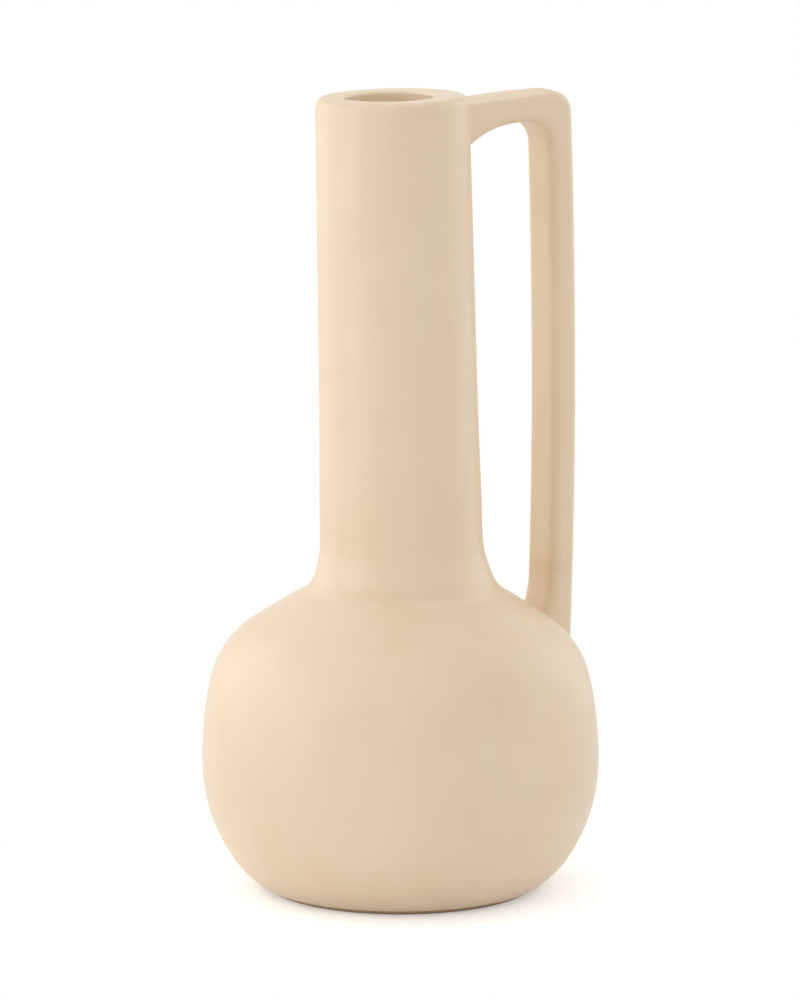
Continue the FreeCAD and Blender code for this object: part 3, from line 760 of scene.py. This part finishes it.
def finished(name, rows, faces, normals):
    """An object that rides on the vessel's one body, shaded smooth but for its real corners; the
    rows that have normals keep them, and the others are shaded by their faces."""
    mesh = bpy.data.meshes.new(name)
    mesh.from_pydata(rows.reshape(-1, 3).tolist(), [], faces)
    mesh.update()
    mesh.shade_smooth()
    mesh.set_sharp_from_angle(angle=SHARP_ANGLE)
    known = normals.reshape(-1, 3)
    loops = np.zeros(len(mesh.loops), np.int64)
    mesh.loops.foreach_get("vertex_index", loops)
    faces = np.zeros(len(mesh.polygons) * 3)
    mesh.polygons.foreach_get("normal", faces)
    totals = np.zeros(len(mesh.polygons), np.int64)
    mesh.polygons.foreach_get("loop_total", totals)
    owner = np.repeat(np.arange(len(mesh.polygons)), totals)
    wanted = known[loops]
    agree = np.sum(wanted * faces.reshape(-1, 3)[owner], -1) > LEAST_AGREEMENT
    wanted = np.where(agree[:, None], wanted, 0.0)
    mesh.normals_split_custom_set(wanted.tolist())
    piece = bpy.data.objects.new(name, mesh)
    bpy.context.scene.collection.objects.link(piece)
    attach(piece, "root")
    return piece


# How far round from the handle its joints can reach, and how many rows they leave alone at the
# start of the shoulder, at the end of the neck and past the lip.
HANDLE_SPREAD = 0.7
LOW_SHOULDER_ROWS = 20
HIGH_NECK_ROWS = 60
PAST_LIP_ROWS = 8


def worn(rows, lip):
    """The vessel's rows with what throwing left on them up to the lip, and with both sways."""
    share = np.ones(len(rows))
    share[lip - 1:] = 0.0
    rows = rows + grid_normals(rows) * thrown(rows)[..., None] * share[:, None, None]
    sway = hump(rows[..., 2], ROOT_SWAY_HEIGHT, ROOT_SWAY_WIDTH)
    sway = sway * (1 - smooth(*ROOT_SWAY_REACH, span(rows)))
    rows[..., :2] += ROOT_SWAY * sway[..., None]
    spoke = rows[lip:] - PIVOT
    rise = spoke @ LEAN
    reach = np.linalg.norm(spoke - rise[..., None] * LEAN, axis=-1)
    low, high = (NECK_TOP - depth for depth in BORE_SWAY_DEPTH)
    sway = smooth(low, high, rise)
    sway = sway * (1 - smooth(BORE_RADIUS + BORE_ROUND, NECK_TOP_RADIUS - LIP_ROUND, reach))
    rows[lip:, :, :2] += BORE_SWAY * sway[..., None]
    return rows


def joined(rows, dome, rim, lip):
    """The vessel's rows and normals, drawn into the soft joints with the handle."""
    normals = grid_normals(rows)
    near = np.abs(AROUND) < HANDLE_SPREAD
    for low, high, own in (
            (dome, rim - HIGH_NECK_ROWS, belly_distance),
            (rim - 2, lip + PAST_LIP_ROWS, neck_distance)):
        rows[low:high, near], normals[low:high, near] = luted(
            rows[low:high, near], normals[low:high, near], own, handle_distance)
    return rows, normals


def vessel_pieces():
    """The four pieces of the vessel, cut from one continuous skin so that no seam shows."""
    names = ["bowl", "shoulder", "neck", "mouth_rim"]
    skins = [bowl_skin(), shoulder_skin(), neck_skin(), mouth_skin()]
    insides = [bowl_inside(), shoulder_inside(), neck_inside(), mouth_inside()]
    dome = len(skins[0]) + LOW_SHOULDER_ROWS
    rim = sum(len(skin) - 1 for skin in skins[:3])
    lip = rim + len(spread(MOUTH_SEAM, NECK_TOP - LIP_ROUND, STEP))
    rows, normals = joined(worn(np.array(chain(*skins)), lip), dome, rim, lip)
    pieces = []
    start = 0
    for name, skin, inside in zip(names, skins, insides):
        end = start + len(skin)
        inside = np.array(inside)
        whole = np.concatenate([rows[start:end], inside])
        shade = np.concatenate([normals[start:end], np.zeros(inside.shape)])
        index = numbered(whole)
        faces = bands(index, np.roll(index, -1, 0))
        piece = finished(name + "_skin", whole, faces, shade)
        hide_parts(name)
        pieces.append(piece)
        start = end - 1
    return pieces


# The strap's mesh: spacing of its ribs along the leg and past the landing, how far they go on
# there, the longest and deepest rib, a rib's least length in edges, and the share of the seat's
# depth below which a rib stays as it is.
LEG_STEP = 3.0 * MM
LANDING_STEP = 0.4 * MM
LANDING_RUN = 16.0 * MM
LONGEST_RIB = 60.0 * MM
RIB_DEPTH = 5.0 * MM
LEAST_EDGES = 2.2
SEAT_SHARE = 0.8
# Points round a section: on each rounded edge, across a face and along a side.
EDGE_POINTS = 9
FACE_POINTS = 11
SIDE_POINTS = 25


def ribs():
    """Where ribs across the strap start on its inner outline, and their directions."""
    starts, ways = [], []
    arcs = [
        (TOE, TOE_RADIUS, math.pi, TOE_TURN, FINEST),
        (GUSSET, GUSSET_RADIUS, TOE_TURN, ARM_TURN, STEP),
        (ARMPIT, ARMPIT_RADIUS, ARM_TURN, bearing(BOW, ARMPIT), FINEST),
        (BOW, LEG_INNER, bearing(BOW, ARMPIT), FLARE_TURN, LEG_STEP),
        (FLARE, FLARE_RADIUS, FLARE_TURN, FLARE_END, STEP),
    ]
    for centre, radius, first, last, step in arcs:
        for angle in spread(first, last, step / radius)[:-1]:
            starts.append(centre + radius * direction(angle))
            ways.append(direction(angle))
    way = direction(FLARE_END)
    down = direction(FLARE_END - TURN / 4)
    for drop in spread(0.0, LANDING_RUN, LANDING_STEP):
        starts.append(LANDING + down * drop)
        ways.append(way)
    return np.array(starts), np.array(ways)


def rib_lengths(starts, ways):
    """How far each rib runs to the outer outline, or to where it is well inside the vessel."""
    low = np.zeros(len(starts))
    high = np.full(len(starts), LONGEST_RIB)
    for _ in range(RIB_ROUNDS):
        middle = (low + high) / 2
        place = starts + ways * middle[:, None]
        spot = np.stack([place[:, 0], 0 * place[:, 0], place[:, 1]], -1)
        vessel = np.minimum(belly_distance(spot), neck_distance(spot))
        past = np.maximum(outside_strap(place), -RIB_DEPTH - vessel) > 0
        high = np.where(past, middle, high)
        low = np.where(past, low, middle)
    return low


def section(length):
    """Points round the strap for a rib of a length: distance along the rib, and breadth."""
    edge = min(STRAP_EDGE, length / LEAST_EDGES)
    half = STRAP_WIDTH / 2 - STRAP_EDGE
    arc = np.linspace(0.0, math.pi / 2, EDGE_POINTS)
    across = np.linspace(-half, half, FACE_POINTS)[1:-1]
    side = np.linspace(0.0, 1.0, SIDE_POINTS)[1:-1]
    quarter = np.stack([np.sin(arc), np.cos(arc)], -1)
    points = [(0.0, y) for y in -across]
    points += [(edge - edge * c, -half - STRAP_EDGE * s) for s, c in quarter]
    points += [(edge + (length - 2 * edge) * t, -half - STRAP_EDGE) for t in side]
    points += [(length - edge + edge * s, -half - STRAP_EDGE * c) for s, c in quarter]
    points += [(length, y) for y in across]
    points += [(length - edge + edge * c, half + STRAP_EDGE * s) for s, c in quarter]
    points += [(length - edge - (length - 2 * edge) * t, half + STRAP_EDGE) for t in side]
    points += [(edge - edge * s, half + STRAP_EDGE * c) for s, c in quarter]
    return np.array(points)


def strap_rows():
    """The sections in place, settled on the strap's surface where the vessel doesn't hide it."""
    starts, ways = ribs()
    rows = []
    for start, way, length in zip(starts, ways, rib_lengths(starts, ways)):
        points = section(length)
        place = start + points[:, :1] * way
        rows.append(np.stack([place[:, 0], points[:, 1], place[:, 1]], -1))
    rows = np.array(rows)
    inside = np.minimum(belly_distance(rows), neck_distance(rows)) < -SEAT_SHARE * SEAT_DEPTH
    return np.where(inside[..., None], rows, settle(rows, handle_distance))


def handle_piece():
    """The strap handle: sections across it from its root in the mouth ring to its foot."""
    rows = strap_rows()
    normals = slope(handle_distance, rows)
    high = rows[..., 2] > BOW_HEIGHT
    for part, own in ((high, neck_distance), (~high, belly_distance)):
        deep = np.maximum(-SEAT_DEPTH - own(rows), 0.0) * part
        rows = rows + deep[..., None] * slope(own, rows)
        drawn, facing = luted(rows, normals, handle_distance, own)
        rows = np.where(part[..., None], drawn, rows)
        normals = np.where(part[..., None], facing, normals)
    index = numbered(rows)
    caps = [index[0][::-1].tolist(), index[-1].tolist()]
    piece = finished("handle_skin", rows, bands(index[:-1], index[1:]) + caps, normals)
    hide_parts("handle")
    return piece


def material(name):
    """A new node material, with its tree and its shader."""
    made = bpy.data.materials.new(name)
    made.use_nodes = True
    tree = made.node_tree
    return made, tree, tree.nodes["Principled BSDF"]


def add(tree, kind, **inputs):
    """A node with some of its inputs set."""
    node = tree.nodes.new(kind)
    for key, value in inputs.items():
        node.inputs[key.replace("_", " ")].default_value = value
    return node


def worked(tree, operation, *values):
    """A value worked out from others, each of them a number or another node's output."""
    node = tree.nodes.new("ShaderNodeMath")
    node.operation = operation
    for socket, value in zip(node.inputs, values):
        if isinstance(value, float):
            socket.default_value = value
        else:
            tree.links.new(value, socket)
    return node.outputs[0]


def ranged(tree, value, interpolation="LINEAR", **limits):
    """A value mapped from one range to another."""
    node = add(tree, "ShaderNodeMapRange", **limits)
    node.interpolation_type = interpolation
    tree.links.new(value, node.inputs["Value"])
    return node.outputs["Result"]


def own_place(tree):
    """The point's own place on the object."""
    return tree.nodes.new("ShaderNodeTexCoord").outputs["Object"]


def vector_length(tree, vector):
    """Length of a vector."""
    node = tree.nodes.new("ShaderNodeVectorMath")
    node.operation = "LENGTH"
    tree.links.new(vector, node.inputs[0])
    return node.outputs["Value"]


def noise(tree, scale, detail, roughness=0.5, upright=1.0):
    """A noise in the object's own place; a low upright draws it out up and down."""
    drawn = tree.nodes.new("ShaderNodeVectorMath")
    drawn.operation = "MULTIPLY"
    drawn.inputs[1].default_value = (1, 1, upright)
    texture = add(tree, "ShaderNodeTexNoise", Scale=scale, Detail=detail, Roughness=roughness)
    tree.links.new(own_place(tree), drawn.inputs[0])
    tree.links.new(drawn.outputs["Vector"], texture.inputs["Vector"])
    return texture.outputs["Fac"]


def ramp(tree, source, stops):
    """A colour ramp over a source value."""
    node = tree.nodes.new("ShaderNodeValToRGB")
    node.color_ramp.elements[0].position = stops[0][0]
    node.color_ramp.elements[0].color = (*stops[0][1], 1)
    node.color_ramp.elements[1].position = stops[-1][0]
    node.color_ramp.elements[1].color = (*stops[-1][1], 1)
    for position, colour in stops[1:-1]:
        node.color_ramp.elements.new(position).color = (*colour, 1)
    tree.links.new(source, node.inputs["Fac"])
    return node.outputs["Color"]


def patches(tree, source, start, end):
    """Black below one value of a source, and white above another."""
    return ramp(tree, source, [(start, (0, 0, 0)), (end, (1, 1, 1))])


def mixed(tree, colour, factor, other, blend="MIX"):
    """A colour that gives way to another one, or is blended with it, where a factor is high."""
    mix = tree.nodes.new("ShaderNodeMix")
    mix.data_type = "RGBA"
    mix.blend_type = blend
    mix.inputs["B"].default_value = (*other, 1)
    tree.links.new(factor, mix.inputs["Factor"])
    tree.links.new(colour, mix.inputs["A"])
    return mix.outputs["Result"]


def bumped(tree, shader, coarse, fine, strength, depth):
    """A bump of two noises on a shader."""
    bump = add(tree, "ShaderNodeBump", Strength=strength, Distance=depth)
    tree.links.new(worked(tree, "ADD", coarse, fine), bump.inputs["Height"])
    tree.links.new(bump.outputs["Normal"], shader.inputs["Normal"])


# The corner between the neck and the dome, and half the breadth of the shade painted there.
ROOT_CORNER = 117.0 * MM
ROOT_BAND = 5.0 * MM

# From the bore's centre in the mouth back to the upright axis, as the neck leans.
BORE_SHIFT = (NECK_TOP * math.sin(NECK_LEAN) - BORE_SWAY[0], -BORE_SWAY[1], 0)

# Noises as scale, detail and, where it isn't even, roughness: of the cream glaze's mottle, its
# streaks, the patches of painted shade under the neck, the gloss and the orange peel, then of the
# inner glaze and of the clay.
MOTTLE = (28.0, 4.0, 0.55)
STREAKS = (70.0, 2.0)
ROOT_SHADE_NOISE = (18.0, 1.0)
GLOSS = (160.0, 3.0)
PEEL, FINE_PEEL = (420.0, 2.0), (1500.0, 2.0)
INNER_MOTTLE = (40.0, 4.0)
INNER_PEEL, FINE_INNER_PEEL = (300.0, 2.0), (900.0, 2.0)
GRIT, FINE_GRIT = (900.0, 6.0, 0.7), (2600.0, 3.0)
# How far the streaks are drawn out upwards.
STREAK_SCALE = 0.12

# A tint of the cream glaze for its streaks, a darker tint painted as shade in the corner under the
# neck, and a paler cream painted as light in the shaded mouth.
ROSY = (1.0, 0.975, 0.965)
ROOT_SHADE_TINT = (0.955, 0.935, 0.91)
MOUTH_PAINTED_LIGHT = (0.90, 0.745, 0.535)


def painted_root_shade(tree):
    """Where shade is painted in the corner under the neck: one there, falling to none."""
    parts = tree.nodes.new("ShaderNodeSeparateXYZ")
    tree.links.new(own_place(tree), parts.inputs[0])
    away = worked(tree, "SUBTRACT", parts.outputs["Z"], ROOT_CORNER)
    size = worked(tree, "ABSOLUTE", away)
    near = ranged(tree, size, "SMOOTHSTEP", From_Min=ROOT_BAND, From_Max=0.0)
    return worked(tree, "MULTIPLY", near, patches(tree, noise(tree, *ROOT_SHADE_NOISE), 0.40, 0.58))


def painted_light_in_mouth(tree):
    """Where light is painted in the shaded mouth: one in the bore, and nothing outside its rounded
    edge.
    """
    flat = add(tree, "ShaderNodeMapping", Location=BORE_SHIFT, Scale=(1, 1, 0))
    tree.links.new(own_place(tree), flat.inputs[0])
    reach = vector_length(tree, flat.outputs["Vector"])
    return ranged(tree, reach, From_Min=BORE_RADIUS + BORE_ROUND, From_Max=BORE_RADIUS)


def cream_glaze():
    """Satin cream glaze: a slow mottle of cream and sand with upright rosy streaks, painted shade
    in the corner under the neck, painted light in the mouth, and a fine orange-peel surface."""
    made, tree, shader = material("cream_glaze")
    colour = ramp(tree, noise(tree, *MOTTLE), [
        (0.30, (0.763, 0.610, 0.414)),
        (0.50, (0.778, 0.628, 0.433)),
        (0.70, (0.792, 0.645, 0.452)),
    ])
    streaks = patches(tree, noise(tree, *STREAKS, upright=STREAK_SCALE), 0.45, 0.62)
    colour = mixed(tree, colour, streaks, ROSY, "MULTIPLY")
    # Painted shade: a darker patchy tint in the crease under the neck.
    colour = mixed(tree, colour, painted_root_shade(tree), ROOT_SHADE_TINT, "MULTIPLY")
    # Painted light: a paler cream in the bore, where the mouth lies in shade.
    colour = mixed(tree, colour, painted_light_in_mouth(tree), MOUTH_PAINTED_LIGHT)
    tree.links.new(colour, shader.inputs["Base Color"])
    gloss = ranged(tree, noise(tree, *GLOSS), To_Min=0.34, To_Max=0.46)
    tree.links.new(gloss, shader.inputs["Roughness"])
    shader.inputs["Specular IOR Level"].default_value = 0.7
    bumped(tree, shader, noise(tree, *PEEL), noise(tree, *FINE_PEEL), 0.12, 0.06 * MM)
    return made


def inner_glaze():
    """Glossier and browner glaze that pooled on the inside."""
    made, tree, shader = material("inner_glaze")
    colour = ramp(tree, noise(tree, *INNER_MOTTLE), [
        (0.30, (0.600, 0.450, 0.285)),
        (0.70, (0.690, 0.540, 0.365)),
    ])
    tree.links.new(colour, shader.inputs["Base Color"])
    shader.inputs["Roughness"].default_value = 0.22
    peel, fine = noise(tree, *INNER_PEEL), noise(tree, *FINE_INNER_PEEL)
    bumped(tree, shader, peel, fine, 0.15, 0.08 * MM)
    return made


def bare_clay():
    """Unglazed clay under the foot: buff, gritty and matt."""
    made, tree, shader = material("bare_clay")
    grit = noise(tree, *GRIT)
    colour = ramp(tree, grit, [
        (0.30, (0.430, 0.290, 0.180)),
        (0.55, (0.560, 0.400, 0.265)),
        (0.75, (0.640, 0.485, 0.340)),
    ])
    tree.links.new(colour, shader.inputs["Base Color"])
    shader.inputs["Roughness"].default_value = 0.9
    bumped(tree, shader, grit, noise(tree, *FINE_GRIT), 0.5, 0.15 * MM)
    return made


# The floor: half its side, its own paleness, the light it adds so that its shadow stays faint,
# and the reach over which it turns plain white.
FLOOR_HALF = 6.0
FLOOR_WHITE = (0.93, 0.93, 0.93, 1)
FLOOR_LIFT = 0.32
FLOOR_FADE_START = 0.07
FLOOR_FADE_END = 0.17
# Strength of the surroundings for every ray that doesn't show the background.
SKY_LEVEL = 0.78


def shows_background(tree):
    """One for the rays that show the white background: the camera's, and those that a mirror or
    a glass turns."""
    path = tree.nodes.new("ShaderNodeLightPath")
    shown = path.outputs["Is Camera Ray"]
    for kind in ("Is Glossy Ray", "Is Transmission Ray"):
        shown = worked(tree, "MAXIMUM", shown, path.outputs[kind])
    return shown


def floor_white():
    """Pale paper that keeps the vessel's shadow near its foot and is plain white further out."""
    made, tree, shader = material("floor_white")
    shader.inputs["Base Color"].default_value = FLOOR_WHITE
    shader.inputs["Roughness"].default_value = 0.9
    shader.inputs["Specular IOR Level"].default_value = 0.1
    shader.inputs["Emission Color"].default_value = (1, 1, 1, 1)
    background = shows_background(tree)
    lift = worked(tree, "MULTIPLY", background, FLOOR_LIFT)
    tree.links.new(lift, shader.inputs["Emission Strength"])
    reach = vector_length(tree, own_place(tree))
    far = ranged(tree, reach, "SMOOTHSTEP", From_Min=FLOOR_FADE_START, From_Max=FLOOR_FADE_END)
    white = add(tree, "ShaderNodeEmission", Color=(1, 1, 1, 1), Strength=1.0)
    mix = tree.nodes.new("ShaderNodeMixShader")
    tree.links.new(worked(tree, "MULTIPLY", far, background), mix.inputs["Fac"])
    tree.links.new(shader.outputs[0], mix.inputs[1])
    tree.links.new(white.outputs[0], mix.inputs[2])
    tree.links.new(mix.outputs[0], tree.nodes["Material Output"].inputs["Surface"])
    return made


def studio():
    """A pale floor under the vessel."""
    mesh = bpy.data.meshes.new("floor")
    half = FLOOR_HALF
    corners = [(-half, -half, 0), (half, -half, 0), (half, half, 0), (-half, half, 0)]
    mesh.from_pydata(corners, [], [(0, 1, 2, 3)])
    mesh.materials.append(floor_white())
    floor = bpy.data.objects.new("floor", mesh)
    bpy.context.scene.collection.objects.link(floor)


def world():
    """Even surroundings: white where they are seen, soft light for everything else."""
    scene = bpy.context.scene
    scene.world = bpy.data.worlds.new("studio")
    scene.world.use_nodes = True
    tree = scene.world.node_tree
    background = tree.nodes["Background"]
    background.inputs["Color"].default_value = (1, 1, 1, 1)
    level = ranged(tree, shows_background(tree), To_Min=SKY_LEVEL, To_Max=1.0)
    tree.links.new(level, background.inputs["Strength"])


# The camera's own directions: the handle points to its right and away from it.
HANDLE_TURN = math.radians(33.0)
RIGHT = Vector((math.cos(HANDLE_TURN), -math.sin(HANDLE_TURN), 0))
AWAY = Vector((math.sin(HANDLE_TURN), math.cos(HANDLE_TURN), 0))
UP = Vector((0, 0, 1))


def seen(right, away, up):
    """A place given as seen from the camera: to the right, away and up."""
    return RIGHT * right + AWAY * away + UP * up


LAMPS_AIM = Vector((0, 0, 0.15))


def lamp(name, place, size, power):
    """A soft lamp that faces the middle of the vessel."""
    data = bpy.data.lights.new(name, "AREA")
    data.shape = "RECTANGLE"
    data.size, data.size_y = size
    data.energy = power
    made = bpy.data.objects.new(name, data)
    made.location = place
    made.rotation_euler = (LAMPS_AIM - place).to_track_quat("-Z", "Y").to_euler()
    bpy.context.scene.collection.objects.link(made)


def lamps():
    """Soft light mostly from the left, less from the right, a little from above."""
    small, tall, wide = (0.6, 0.8), (1.0, 1.4), (1.2, 1.1)
    lamp("left_light", seen(-1.3, -0.25, 0.45), tall, 3.5)
    lamp("left_front_light", seen(-1.2, -0.7, 0.3), small, 1.0)
    lamp("left_rim_light", seen(-1.1, 0.7, 0.5), tall, 3.6)
    lamp("right_rim_light", seen(1.1, 0.7, 0.5), tall, 2.7)
    lamp("top_light", seen(-0.1, 0.1, 1.5), wide, 1.35)
    lamp("front_top_light", seen(0.0, -1.1, 1.2), wide, 0.9)


# The photograph's height and focal length, and how far its middle is from the vessel's axis, in
# its pixels; then the camera's place.
FRAME_HEIGHT = 1000.0
FOCAL_PIXELS = 5859.4
AXIS_SHIFT = 0.5
SENSOR_HEIGHT = 36.0
CAMERA_DISTANCE = 2.2
CAMERA_ELEVATION = math.radians(9.7)
LOOK_HEIGHT = 0.14764


def camera():
    """The camera at the photograph's viewing angle."""
    data = bpy.data.cameras.new("camera")
    data.sensor_fit = "VERTICAL"
    data.sensor_height = SENSOR_HEIGHT
    data.lens = FOCAL_PIXELS / FRAME_HEIGHT * data.sensor_height
    data.shift_x = -AXIS_SHIFT / FRAME_HEIGHT
    data.clip_end = 50.0
    made = bpy.data.objects.new("camera", data)
    back = AWAY * -math.cos(CAMERA_ELEVATION) + UP * math.sin(CAMERA_ELEVATION)
    made.location = UP * LOOK_HEIGHT + back * CAMERA_DISTANCE
    made.rotation_euler = (-back).to_track_quat("-Z", "Y").to_euler()
    bpy.context.scene.collection.objects.link(made)
    bpy.context.scene.camera = made


def dress():
    """Make the pieces and give every piece its material."""
    cream, inner, clay = cream_glaze(), inner_glaze(), bare_clay()
    for piece in vessel_pieces() + [handle_piece()]:
        piece.data.materials.append(cream)
    for name, made in (("glaze_lining", inner), ("foot_ring", clay)):
        for slot in frame["nodes"][name].material_slots:
            slot.material = made


dress()
studio()
world()
lamps()
camera()
bpy.context.scene.view_settings.view_transform = "Standard"
